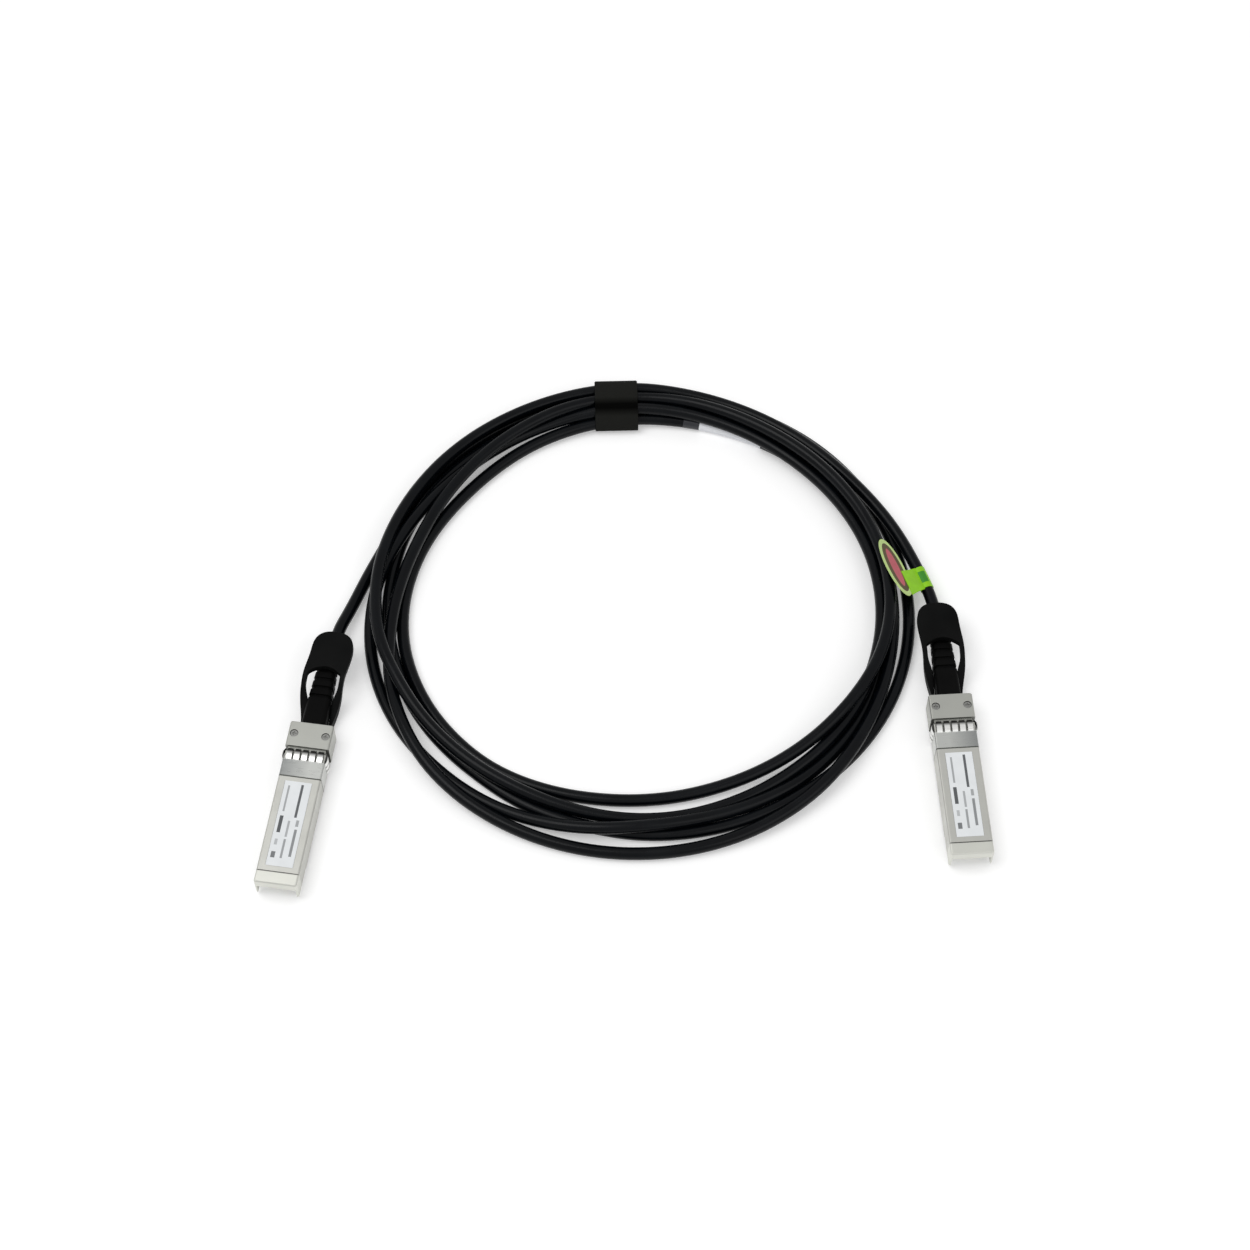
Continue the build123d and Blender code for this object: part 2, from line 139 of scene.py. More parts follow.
# node helpers for the finishes
def newFinish(name, colour, rough, metal=0.0):
    finish = bpy.data.materials.new(name)
    finish.use_nodes = True
    tree = finish.node_tree
    shader = tree.nodes["Principled BSDF"]
    shader.inputs["Base Color"].default_value = (*colour, 1)
    shader.inputs["Roughness"].default_value = rough
    shader.inputs["Metallic"].default_value = metal
    return finish, tree, shader


def coordsOf(tree, kind="Object", place=(0, 0, 0), turn=0.0, stretch=(1, 1, 1)):
    source = tree.nodes.new("ShaderNodeTexCoord")
    mapping = tree.nodes.new("ShaderNodeMapping")
    mapping.vector_type = "TEXTURE"  # place and turn of the pattern on the piece
    mapping.inputs["Location"].default_value = place
    mapping.inputs["Rotation"].default_value = (0, 0, math.radians(turn))
    mapping.inputs["Scale"].default_value = stretch
    tree.links.new(source.outputs[kind], mapping.inputs["Vector"])
    return mapping.outputs["Vector"]


def plugCoords(tree, side, stretch=(mm, mm, mm)):  # millimetres in the plug's own directions
    spot = plugPlace[side]
    place = Vector((*spot["rear"], plugLift)) * mm
    return coordsOf(tree, place=place, turn=spot["turn"] + plugFacing, stretch=stretch)


def splitOf(tree, coords):
    node = tree.nodes.new("ShaderNodeSeparateXYZ")
    tree.links.new(coords, node.inputs["Vector"])
    return node.outputs["X"], node.outputs["Y"], node.outputs["Z"]


def noiseOf(tree, coords, scale, detail=3.0, rough=0.5):
    noise = tree.nodes.new("ShaderNodeTexNoise")
    noise.inputs["Scale"].default_value = scale
    noise.inputs["Detail"].default_value = detail
    noise.inputs["Roughness"].default_value = rough
    tree.links.new(coords, noise.inputs["Vector"])
    return noise.outputs["Fac"]


def rangeOf(tree, value, low, high, fromLow=0.3, fromHigh=0.7):
    node = tree.nodes.new("ShaderNodeMapRange")
    node.inputs["From Min"].default_value = fromLow
    node.inputs["From Max"].default_value = fromHigh
    node.inputs["To Min"].default_value = low
    node.inputs["To Max"].default_value = high
    tree.links.new(value, node.inputs["Value"])
    return node.outputs["Result"]


def mathOf(tree, kind, first, second=0.0):
    node = tree.nodes.new("ShaderNodeMath")
    node.operation = kind
    for socket, value in zip(node.inputs, (first, second)):
        if isinstance(value, (int, float)):
            socket.default_value = value
        else:
            tree.links.new(value, socket)
    return node.outputs["Value"]


def withinOf(tree, value, low, high):
    above = mathOf(tree, "GREATER_THAN", value, low)
    below = mathOf(tree, "LESS_THAN", value, high)
    return mathOf(tree, "MULTIPLY", above, below)


def blendOf(tree, factor, first, second):
    node = tree.nodes.new("ShaderNodeMix")
    node.data_type = "RGBA"
    tree.links.new(factor, node.inputs["Factor"])
    colourSockets = [s for s in node.inputs if s.type == "RGBA"]
    for socket, value in zip(colourSockets, (first, second)):
        if isinstance(value, tuple):
            socket.default_value = (*value, 1)
        else:
            tree.links.new(value, socket)
    return [s for s in node.outputs if s.type == "RGBA"][0]


def bumpOf(tree, shader, height, depth, strength=1.0, normal=None):
    bump = tree.nodes.new("ShaderNodeBump")
    bump.inputs["Strength"].default_value = strength
    bump.inputs["Distance"].default_value = depth
    tree.links.new(height, bump.inputs["Height"])
    if normal is not None:
        tree.links.new(normal, bump.inputs["Normal"])
    tree.links.new(bump.outputs["Normal"], shader.inputs["Normal"])


def edgeNormal(tree, radius):  # rounds sharp edges in the shading
    edge = tree.nodes.new("ShaderNodeBevel")
    edge.samples = shading["edgeRays"]
    edge.inputs["Radius"].default_value = radius
    return edge.outputs["Normal"]


def edgeWear(tree, softNormal):  # 1 on the edges that hands and cages rub bright
    flat = tree.nodes.new("ShaderNodeNewGeometry")
    dot = tree.nodes.new("ShaderNodeVectorMath")
    dot.operation = "DOT_PRODUCT"
    tree.links.new(softNormal, dot.inputs[0])
    tree.links.new(flat.outputs["Normal"], dot.inputs[1])
    return rangeOf(tree, dot.outputs["Value"], 1.0, 0.0, shading["wornFull"], shading["wornFrom"])


def creviceShadeOf(tree, reach, clear=0.8, deep=0.4):  # 1 deep in grooves and slits: painted shade where little light gets in
    near = tree.nodes.new("ShaderNodeAmbientOcclusion")
    near.samples = shading["paintedShadeRays"]
    near.inputs["Distance"].default_value = reach
    return rangeOf(tree, near.outputs["AO"], 1.0, 0.0, deep, clear)


print("helpers ready")

view = {
    "aim": (0.0, -0.0042, 0.0),
    "elevation": 59.0,
    "distance": 0.85,
    "lens": 75.9,
    "shift": 0.012,
}
tilt = math.radians(view["elevation"])
back = Vector((0, -math.cos(tilt), math.sin(tilt)))
camera = addObject("camera", bpy.data.cameras.new("camera"))
camera.location = Vector(view["aim"]) + back * view["distance"]
camera.rotation_euler = (-back).to_track_quat("-Z", "Y").to_euler()
camera.data.lens = view["lens"]
camera.data.shift_y = view["shift"]
bpy.context.scene.camera = camera
bpy.context.scene.view_settings.view_transform = "Standard"

studio = {
    "floorSize": 6.0,
    "floorColour": (0.88, 0.88, 0.88),
    "floorRough": 0.9,
    "floorGlow": 0.30,     # seen by the camera and in reflections, brings the table to white
    "skyLevel": 0.55,
    "skyMirrored": 0.68,   # what shiny faces see of it
    "keyPower": 6.4,
    "keySize": 0.85,
    "keyPlace": (-0.55, -0.05, 1.30),
    "fillPower": 2.4,
    "fillSize": 0.9,
    "fillPlace": (0.75, -0.75, 0.95),
}


def seenRays(tree, mirrored=1.0):
    path = tree.nodes.new("ShaderNodeLightPath")
    glossy = mathOf(tree, "MULTIPLY", path.outputs["Is Glossy Ray"], mirrored)
    shown = mathOf(tree, "MAXIMUM", path.outputs["Is Camera Ray"], glossy)
    return mathOf(tree, "MAXIMUM", shown, path.outputs["Is Transmission Ray"])


def makeFloor():
    clearSelection()
    bpy.ops.mesh.primitive_plane_add(size=studio["floorSize"])
    floor = bpy.context.object
    floor.name = "floor"
    paint, tree, shader = newFinish("tableWhite", studio["floorColour"], studio["floorRough"])
    shader.inputs["Emission Color"].default_value = (1, 1, 1, 1)
    glow = mathOf(tree, "MULTIPLY", seenRays(tree), studio["floorGlow"])
    tree.links.new(glow, shader.inputs["Emission Strength"])
    floor.data.materials.append(paint)


def makeSky():
    world = bpy.data.worlds.new("studioSky")
    bpy.context.scene.world = world
    world.use_nodes = True
    tree = world.node_tree
    sky = tree.nodes["Background"]
    sky.inputs["Color"].default_value = (1, 1, 1, 1)
    level = mathOf(tree, "MAXIMUM", seenRays(tree, studio["skyMirrored"]), studio["skyLevel"])
    tree.links.new(level, sky.inputs["Strength"])


def softbox(name, place, size, power):
    lamp = bpy.data.lights.new(name, "AREA")
    lamp.size = size
    lamp.energy = power
    box = addObject(name, lamp)
    box.location = place
    box.rotation_euler = (-Vector(place)).to_track_quat("-Z", "Y").to_euler()


makeFloor()
makeSky()
softbox("keyBox", studio["keyPlace"], studio["keySize"], studio["keyPower"])
softbox("fillBox", studio["fillPlace"], studio["fillSize"], studio["fillPower"])
print("studio set")

platingLook = {  # nickel on the die-cast shells
    "colour": (0.60, 0.60, 0.56),
    "shade": (0.53, 0.53, 0.495),
    "rear": (0.46, 0.465, 0.43),  # the block with the screws is greyer
    "rearTo": 9.5,                # mm from the rear face
    "seamShadow": (0.10, 0.105, 0.095),  # painted shadow line at the collar's front edge
    "seamShadowAt": (18.95, 19.45),
    "worn": (0.66, 0.66, 0.62),
    "nose": (0.70, 0.705, 0.65),  # the bar ahead of the nose line is bare and paler
    "noseFrom": 52.1,
    # painted shade in grooves, slits and dimples, and how far it looks for cover
    "paintedShade": (0.022, 0.024, 0.020),
    "paintedShadeReach": 0.0016,
    "metal": 0.85,
    "patches": 160.0,
    "rough": (0.46, 0.34),        # dull patches, bright patches
    "grain": 1500.0,
    "grainDepth": 0.00003,
    "grainStrength": 0.35,
    "edge": 0.00014,
}


def makePlating(side):
    look = platingLook
    finish, tree, shader = newFinish(side + "ShellPlating", look["colour"], look["rough"][1], look["metal"])
    coords = coordsOf(tree)
    cloud = noiseOf(tree, coords, look["patches"], 4.0)
    grain = noiseOf(tree, coords, look["grain"], 2.0)
    tone = blendOf(tree, rangeOf(tree, cloud, 0.0, 1.0), look["shade"], look["colour"])
    along = splitOf(tree, plugCoords(tree, side))[0]
    tone = blendOf(tree, mathOf(tree, "LESS_THAN", along, look["rearTo"]), tone, look["rear"])
    # painted shadow line ahead of the collar
    tone = blendOf(tree, withinOf(tree, along, *look["seamShadowAt"]), tone, look["seamShadow"])
    tone = blendOf(tree, mathOf(tree, "GREATER_THAN", along, look["noseFrom"]), tone, look["nose"])
    soft = edgeNormal(tree, look["edge"])
    tone = blendOf(tree, edgeWear(tree, soft), tone, look["worn"])
    # painted shade: darker where the surface lies deep in a groove or slit
    tone = blendOf(tree, creviceShadeOf(tree, look["paintedShadeReach"]), tone, look["paintedShade"])
    tree.links.new(tone, shader.inputs["Base Color"])
    tree.links.new(rangeOf(tree, cloud, *look["rough"]), shader.inputs["Roughness"])
    bumpOf(tree, shader, grain, look["grainDepth"], look["grainStrength"], soft)
    return finish


collarLook = {  # spring sheet: painted highlight on the fingers, a painted reflection across the band
    "finger": (0.88, 0.88, 0.86),
    "bandReflectionDark": (0.34, 0.35, 0.345),
    "bandReflectionLight": (0.60, 0.61, 0.585),
    "fingerFrom": (10.5, 11.6),   # mm from the rear face: out of the groove's shadow
    "fingerEnd": 13.5,
    "reflectionDarkSide": {"left": -6.0, "right": 6.0},
    "reflectionFadeShare": -0.4,          # how far past the middle the painted reflection's dark side fades out
    # painted shade of the groove and of the slits between the fingers
    "paintedShade": (0.03, 0.03, 0.028),
    "paintedShadeReach": 0.0005,
    "paintedShadeOpenness": (0.6, 0.2),      # openness where the painted shade starts, where it is full
    "rough": (0.36, 0.26),
    "streakStretch": (mm, 9 * mm, mm),
    "streaks": 3.0,
    "streakDepth": 0.000008,
    "streakStrength": 0.25,
    "edge": 0.00005,
}


def makeCollar(side):
    look = collarLook
    finish, tree, shader = newFinish(side + "CollarSheet", look["bandReflectionLight"], look["rough"][1], 1.0)
    along, across = splitOf(tree, plugCoords(tree, side))[:2]
    streaks = noiseOf(tree, plugCoords(tree, side, look["streakStretch"]), look["streaks"])
    # painted reflection: the band darker on its outer side, lighter towards the inner side
    reflectionDarkest = look["reflectionDarkSide"][side]
    fade = rangeOf(tree, across, 0.0, 1.0, reflectionDarkest, look["reflectionFadeShare"] * reflectionDarkest)
    band = blendOf(tree, fade, look["bandReflectionDark"], look["bandReflectionLight"])
    # painted shade on the fingers' rear ends in the groove, painted highlight on the rest of the fingers
    shown = rangeOf(tree, along, 0.0, 1.0, *look["fingerFrom"])
    finger = blendOf(tree, shown, look["paintedShade"], look["finger"])
    tone = blendOf(tree, mathOf(tree, "LESS_THAN", along, look["fingerEnd"]), band, finger)
    # painted shade in the slits between the fingers
    tone = blendOf(tree, creviceShadeOf(tree, look["paintedShadeReach"], *look["paintedShadeOpenness"]), tone, look["paintedShade"])
    soft = edgeNormal(tree, look["edge"])
    tree.links.new(tone, shader.inputs["Base Color"])
    tree.links.new(rangeOf(tree, streaks, *look["rough"]), shader.inputs["Roughness"])
    bumpOf(tree, shader, streaks, look["streakDepth"], look["streakStrength"], soft)
    return finish


labelLook = {
    "white": (0.86, 0.885, 0.90),
    "grey": (0.81, 0.835, 0.85),
    "bars": [  # printed fields in mm: from, to, centre line, width, darkness
        (22.5, 31.5, -2.6, 0.60, 0.55), (21.8, 33.2, 1.5, 0.80, 0.90), (33.0, 38.8, -2.7, 1.10, 0.92),
        (41.0, 43.0, -2.7, 0.90, 0.40), (45.3, 47.4, -2.7, 1.30, 0.80), (34.5, 40.0, -0.1, 0.70, 0.50),
        (40.8, 47.3, -0.1, 0.70, 0.60), (34.0, 36.2, 2.5, 0.90, 0.55), (37.2, 46.5, 2.5, 0.85, 0.70),
    ],
    "ink": (0.045, 0.05, 0.055),
    "gloss": 0.3,
    "patches": 240.0,
    "rough": (0.45, 0.58),
    "fibre": 2500.0,
    "fibreDepth": 0.00001,
    "fibreStrength": 0.3,
}


def makeFaceLabel(side):
    look = labelLook
    finish, tree, shader = newFinish(side + "FaceLabel", look["white"], look["rough"][0])
    shader.inputs["Specular IOR Level"].default_value = look["gloss"]
    coords = coordsOf(tree)
    cloud = noiseOf(tree, coords, look["patches"])
    tone = blendOf(tree, rangeOf(tree, cloud, 0.0, 1.0), look["grey"], look["white"])
    along, across = splitOf(tree, plugCoords(tree, side))[:2]
    for start, end, middle, width, dark in look["bars"]:
        shown = mathOf(tree, "MULTIPLY", withinOf(tree, along, start, end),
                       withinOf(tree, across, middle - width / 2, middle + width / 2))
        tone = blendOf(tree, mathOf(tree, "MULTIPLY", shown, dark), tone, look["ink"])
    tree.links.new(tone, shader.inputs["Base Color"])
    tree.links.new(rangeOf(tree, cloud, *look["rough"]), shader.inputs["Roughness"])
    fibre = noiseOf(tree, coords, look["fibre"], 2.0)
    bumpOf(tree, shader, fibre, look["fibreDepth"], look["fibreStrength"])
    return finish


sheetLook = {  # rolled metal, shared by screws, sliders, springs, ferrules and contacts
    "lines": 900.0,
    "dull": 0.82,
    "rougher": 0.1,
    "smoother": 0.06,
    "lineDepth": 0.00001,
    "lineStrength": 0.3,
}


def makeSheetSteel(name, colour, rough, streak, edge):
    look = sheetLook
    finish, tree, shader = newFinish(name, colour, rough, 1.0)
    coords = coordsOf(tree, stretch=streak)
    lines = noiseOf(tree, coords, look["lines"], 4.0, 0.6)
    dull = tuple(look["dull"] * c for c in colour)
    soft = edgeNormal(tree, edge)
    tone = blendOf(tree, rangeOf(tree, lines, 0.0, 1.0), dull, colour)
    tree.links.new(tone, shader.inputs["Base Color"])
    roughness = rangeOf(tree, lines, rough + look["rougher"], rough - look["smoother"])
    tree.links.new(roughness, shader.inputs["Roughness"])
    bumpOf(tree, shader, lines, look["lineDepth"], look["lineStrength"], soft)
    return finish


mouldedLook = {  # rubber, plastic and laminate
    "patches": 90.0,
    "smoother": 0.06,
    "rougher": 0.08,
    "grainStrength": 0.5,
}


def makeMoulded(name, colour, light, rough, gloss, grain, depth, edge):
    look = mouldedLook
    finish, tree, shader = newFinish(name, colour, rough)
    coords = coordsOf(tree)
    cloud = noiseOf(tree, coords, look["patches"])
    grainFac = noiseOf(tree, coords, grain, 2.0)
    soft = edgeNormal(tree, edge)
    shader.inputs["Specular IOR Level"].default_value = gloss
    tone = blendOf(tree, rangeOf(tree, cloud, 0.0, 1.0), colour, light)
    tree.links.new(tone, shader.inputs["Base Color"])
    roughness = rangeOf(tree, cloud, rough - look["smoother"], rough + look["rougher"])
    tree.links.new(roughness, shader.inputs["Roughness"])
    bumpOf(tree, shader, grainFac, depth, look["grainStrength"], soft)
    return finish


braidLook = {
    "colour": (0.60, 0.57, 0.52),
    "rough": 0.32,
    "wires": 9.0,          # radians a millimetre
    "gap": 0.4,            # how dark it is between the wires
    "gapShade": (-0.2, 0.9),
    "depth": 0.0001,
    "strength": 0.8,
}


def makeBraid(name):
    look = braidLook
    finish, tree, shader = newFinish(name, look["colour"], look["rough"], 1.0)
    x, y, z = splitOf(tree, coordsOf(tree, stretch=(mm, mm, mm)))
    ringwise = mathOf(tree, "ADD", x, z)
    strands = []
    for kind in ("ADD", "SUBTRACT"):  # the two ways that the wires wind
        slanted = mathOf(tree, "MULTIPLY", mathOf(tree, kind, ringwise, y), look["wires"])
        strands.append(mathOf(tree, "SINE", slanted))
    weave = mathOf(tree, "MAXIMUM", *strands)
    dark = tuple(look["gap"] * c for c in look["colour"])
    tone = blendOf(tree, rangeOf(tree, weave, 0.0, 1.0, *look["gapShade"]), dark, look["colour"])
    tree.links.new(tone, shader.inputs["Base Color"])
    bumpOf(tree, shader, weave, look["depth"], look["strength"])
    return finish


# sheet: colour, roughness, streak stretch, rounded edge
# moulded: colour, lighter patches, roughness, gloss, grain, its depth, rounded edge
finishes = {
    "screw_steel": makeSheetSteel("screwSteel", (0.34, 0.34, 0.325), 0.34, (1, 1, 1), 0.0001),
    "slider_steel": makeSheetSteel("sliderSteel", (0.60, 0.60, 0.58), 0.28, (1, 6, 1), 0.00008),
    "spring_steel": makeSheetSteel("springSteel", (0.58, 0.58, 0.57), 0.22, (1, 1, 1), 0.00003),
    "ferrule_metal": makeSheetSteel("ferruleMetal", (0.62, 0.58, 0.48), 0.3, (6, 1, 1), 0.00008),
    "contact_gold": makeSheetSteel("contactGold", (0.80, 0.58, 0.22), 0.24, (1, 5, 1), 0.00003),
    "braid_copper": makeBraid("braidCopper"),
    "boot_rubber": makeMoulded("bootRubber", (0.0014, 0.0014, 0.0014), (0.0035, 0.0035, 0.0034),
                               0.5, 0.05, 2600.0, 0.00004, 0.0002),
    "tab_plastic": makeMoulded("tabPlastic", (0.0022, 0.0024, 0.0024), (0.0045, 0.0047, 0.0046),
                               0.46, 0.06, 3200.0, 0.00005, 0.0003),
    "chip_case": makeMoulded("chipCase", (0.020, 0.020, 0.021), (0.034, 0.034, 0.034),
                             0.55, 0.3, 5000.0, 0.00003, 0.00006),
    "capacitor_body": makeMoulded("capacitorBody", (0.36, 0.25, 0.16), (0.46, 0.33, 0.21),
                                  0.5, 0.3, 6000.0, 0.00002, 0.00005),
    "card_laminate": makeMoulded("cardLaminate", (0.018, 0.10, 0.045), (0.03, 0.15, 0.07),
                                 0.3, 0.45, 1800.0, 0.00002, 0.00006),
    "core_insulation": makeMoulded("coreInsulation", (0.72, 0.71, 0.67), (0.80, 0.80, 0.77),
                                   0.45, 0.3, 4000.0, 0.00002, 0.00005),
    "cable_jacket": makeMoulded("cableJacket", (0.0008, 0.0012, 0.002), (0.002, 0.0029, 0.0042),
                                0.24, 0.145, 2400.0, 0.00003, 0.00005),
    "label_paper": makeMoulded("labelFilm", (0.82, 0.835, 0.87), (0.88, 0.89, 0.92),
                               0.45, 0.3, 2500.0, 0.00001, 0.00003),
    "label_clear": makeMoulded("labelClearFilm", (0.014, 0.015, 0.019), (0.03, 0.032, 0.04),
                               0.25, 0.5, 900.0, 0.00002, 0.00003),
}
plugFinishes = {side: {"shell_plating": makePlating(side), "collar_sheet": makeCollar(side),
                       "label_paper": makeFaceLabel(side)} for side in plugPlace}
print("finishes made:", len(finishes) + 3 * len(plugFinishes))

# the cable: one line from the left plug round five loose turns to the right plug
cableLay = {
    "diameter": 4.0,
    "length": 2.86,          # m, as declared for the whole route
    "centre": (5.0, 5.5),
    "perTurn": 36,
    "startAngle": 150.0,
    "endAngle": 40.0,
    "lean": 0.6,             # a strand a millimetre higher looks this much further back in the picture
    "seenHeight": 2.5,       # height that the courses below were read for
    "leftTail": [(-94.28, -16.24, 5.05), (-92.71, -5.36, 5.05), (-88.6, 5.5, 3.0), (-83.5, 19.5, 2.3),
                 (-77.5, 33.0, 2.1)],
    "rightTail": [(80.9, 46.8, 6.0), (89.0, 34.1, 5.6), (94.9, 20.6, 5.2), (100.16, 5.54, 5.05),
                  (100.83, -5.44, 5.05)],
    "courses": [  # each pass, clockwise: angle and distance from the centre where its course bends
        [(165, 87.5), (140, 86.2), (100, 84.8), (75, 85.4), (52, 87.1), (20, 86.8), (-15, 86.9),
         (-45, 84.6), (-75, 82.0), (-105, 79.9), (-138, 77.8), (-160, 79.8)],
        [(180, 82.4), (145, 82.9), (105, 81.0), (65, 80.0), (20, 81.0), (-15, 81.0), (-40, 83.3),
         (-65, 86.9), (-110, 88.2), (-143, 87.4), (-160, 84.0), (-170, 81.2)],
        [(180, 79.0), (163, 75.9), (140, 79.0), (118, 82.0), (97, 84.8), (60, 82.4), (20, 81.9),
         (-3, 80.7), (-25, 75.2), (-45, 70.5), (-70, 68.3), (-100, 69.4), (-135, 75.6), (-150, 78.2)],
        [(180, 77.0), (160, 75.2), (140, 72.5), (100, 76.5), (80, 76.2), (55, 79.2), (20, 79.0), (-5, 78.4),
         (-43, 79.8), (-62, 77.7), (-84, 76.4), (-100, 79.0), (-118, 84.7), (-140, 86.9), (-162, 88.8)],
        [(180, 87.6), (167, 83.8), (140, 79.9), (125, 79.7), (98, 80.8), (60, 79.2), (20, 78.7),
         (-20, 77.4), (-75, 75.7), (-90, 76.1), (-115, 74.6), (-140, 77.2), (-165, 82.2)],
        [(180, 86.0), (160, 86.8), (140, 88.0), (97, 88.2), (75, 86.6), (50, 85.7), (38, 86.2)],
    ],
    "lifts": [  # where a pass is laid over others: from, to, height it is laid at
        [],
        [(-30, -60, 5.8), (-120, -148, 5.8), (-168, -180, 5.8)],
        [(180, 0, 6.2), (0, -26, 8.5)],
        [(-52, -112, 5.8)],
        [(170, -22, 5.9), (-114, -180, 5.9)],
        [(180, 20, 6.4)],
    ],
    "drawnEase": 0.3,        # rounds off the bends of the courses
    "settleRounds": 900,
    "pull": 0.08,            # share of the way back to its course that a strand goes in a round
    "drop": 0.03,            # mm that it falls in a round
    "sideEase": 0.04,        # stiffness sideways and upwards
    "riseEase": 0.15,
    "pushes": 3,             # times that touching strands are parted in a round
    "pushAside": 0.5,        # strands part less sideways than upwards
    "floorGap": 0.09,        # room for the wrap label under the strand
    "highest": 11.0,
    "smoothness": 5,         # steps between two points, and of half the section's round
    "sides": 6,
    "lineSmoothness": 12,    # of the line that the pieces on the cable follow
}
tieStrap = {
    "angle": 95.6,
    "middle": 82.0,     # distance of its middle from the coil's centre
    "turn": -4.0,       # sits a little askew on the strands
    "width": 14.4,
    "thick": 0.6,
    "hold": 2.02,       # strand radius and a little slack
    "lift": 0.95,       # room for the strap under the strands
    "liftFull": 7.0,    # degrees to each side where that room is whole, and where it ends
    "liftEnd": 23.0,
    "press": 6.95,      # highest strand centre under the strap
    "pressReach": 8.0,  # degrees to each side
    "dip": 0.2,         # sag between two strands
    "dipReach": 80.5,
    "dipSpread": 1.2,
    "valleyShadeReach": 77.5,   # painted shade of the valley between the strands
    "hullTurns": 721,
    "ringPoints": 96,
    "steps": 8,
    "rounding": 0.16,
    "edgeCrease": 50.0,
    "lapBelow": 3.2,    # the lapped end, from below the outermost point of the strap to above it
    "lapAbove": 0.6,
    "lapGap": 0.05,
    "lapNarrower": 0.4,
}


def eased(values, share):  # a stiff line evens out its own bends
    bend = np.zeros_like(values)
    bend[1:-1] = (values[2:] + values[:-2]) / 2 - values[1:-1]
    return values + share * bend


def settleCoil(lay, tie):  # drawn courses drop onto the table and onto each other
    turn = lay["perTurn"]
    radius = lay["diameter"] / 2
    passes = len(lay["courses"])
    wound = np.arange(-lay["startAngle"], 360 * (passes - 1) - lay["endAngle"] + 1, 360 / turn)
    bends = []
    for lap, course in enumerate(lay["courses"]):
        bends += [(360 * lap - angle, reach) for angle, reach in course]
    drawn = np.interp(wound, *zip(*bends))
    drawn = eased(eased(drawn, lay["drawnEase"]), lay["drawnEase"])
    height = np.full(len(wound), radius)
    for lap, spans in enumerate(lay["lifts"]):
        for start, end, level in spans:
            height[(wound >= 360 * lap - start) & (wound <= 360 * lap - end)] = level
    slant = lay["lean"] * np.sin(np.radians(-wound))
    fromTie = np.abs((-wound - tie["angle"] + 180) % 360 - 180)
    nearTie = np.clip((tie["liftEnd"] - fromTie) / (tie["liftEnd"] - tie["liftFull"]), 0, 1)
    lowest = radius + lay["floorGap"] + tie["lift"] * nearTie ** 2 * (3 - 2 * nearTie)
    highest = np.where(fromTie < tie["pressReach"], tie["press"], lay["highest"])
    reach = drawn - slant * (height - lay["seenHeight"])
    for settleRound in range(lay["settleRounds"]):
        wanted = drawn - slant * (height - lay["seenHeight"])
        reach = eased(reach + lay["pull"] * (wanted - reach), lay["sideEase"])
        height = eased(height - lay["drop"], lay["riseEase"])
        for push in range(lay["pushes"]):
            for laps in range(1, passes):
                pushApart(lay, reach, height, laps * turn)
            height = np.clip(height, lowest, highest)
    return wound, reach, height


def pushApart(lay, reach, height, gone):  # strands side by side, so many points apart on the line
    across = reach[gone:] - reach[:-gone]
    rise = height[gone:] - height[:-gone]
    gap = np.hypot(across, rise) + 1e-6
    push = np.clip(lay["diameter"] - gap, 0, None) / gap / 2  # each of the two goes half the way
    reach[:-gone] -= lay["pushAside"] * push * across
    reach[gone:] += lay["pushAside"] * push * across
    height[:-gone] -= push * rise
    height[gone:] += push * rise


def cablePoints(lay, tie):
    wound, reach, height = settleCoil(lay, tie)
    outset = 1 / math.cos(math.pi / lay["perTurn"])  # the line lies inside its points by this much
    points = [Vector(p) * mm for p in lay["leftTail"]]
    for angle, far, high in zip(np.radians(-wound), reach * outset, height):
        x = lay["centre"][0] + far * math.cos(angle)
        y = lay["centre"][1] + far * math.sin(angle)
        points.append(Vector((x, y, high)) * mm)
    return points + [Vector(p) * mm for p in lay["rightTail"]]


cable = roundLine("cable", "NURBS", cablePoints(cableLay, tieStrap), cableLay["diameter"] / 2 * mm,
                  cableLay["sides"], cableLay["smoothness"], capped=False)
cable.data.materials.append(finishes["cable_jacket"])
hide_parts("coil", "left_tail", "right_tail")
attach(cable, "cable_and_plugs")


def cableLine():  # points along the cable's own smooth line, each with its angle round the coil
    bare = cable.copy()
    bare.data = cable.data.copy()
    bare.data.bevel_depth = 0
    bare.data.resolution_u = cableLay["lineSmoothness"]
    bpy.context.scene.collection.objects.link(bare)
    bpy.context.view_layer.update()
    mesh = bpy.data.meshes.new_from_object(bare.evaluated_get(bpy.context.evaluated_depsgraph_get()))
    points = [v.co.copy() for v in mesh.vertices]
    bpy.data.objects.remove(bare)
    bpy.data.meshes.remove(mesh)
    x = np.array([p.x / mm - cableLay["centre"][0] for p in points])
    y = np.array([p.y / mm - cableLay["centre"][1] for p in points])
    angles = np.degrees(np.unwrap(np.arctan2(y, x)))
    return points, angles - 360 * round((angles[0] - 180) / 360)


linePoints, lineAngles = cableLine()
print("cable laid, angles from", round(lineAngles[0]), "to", round(lineAngles[-1]))

filmSleeve = {"sides": 7, "crease": 40.0}


def sleeveOnCable(name, points, radius):
    sleeve = roundLine(name, "POLY", points, radius * mm, filmSleeve["sides"])
    toMesh(sleeve, filmSleeve["crease"])
    return sleeve


wrapLabel = {  # white wrap label on the fourth pass, and the clear end of its film
    "turn": 3,
    "from": 75.3,        # degrees round the coil
    "to": 57.5,
    "radius": 2.07,
    "clearFrom": 79.0,
    "clearTo": 74.0,
    "clearRadius": 2.04,
}


def stretchOf(label, start, end):
    low = label[end] - 360 * label["turn"]
    high = label[start] - 360 * label["turn"]
    return [p for p, a in zip(linePoints, lineAngles) if low <= a <= high]


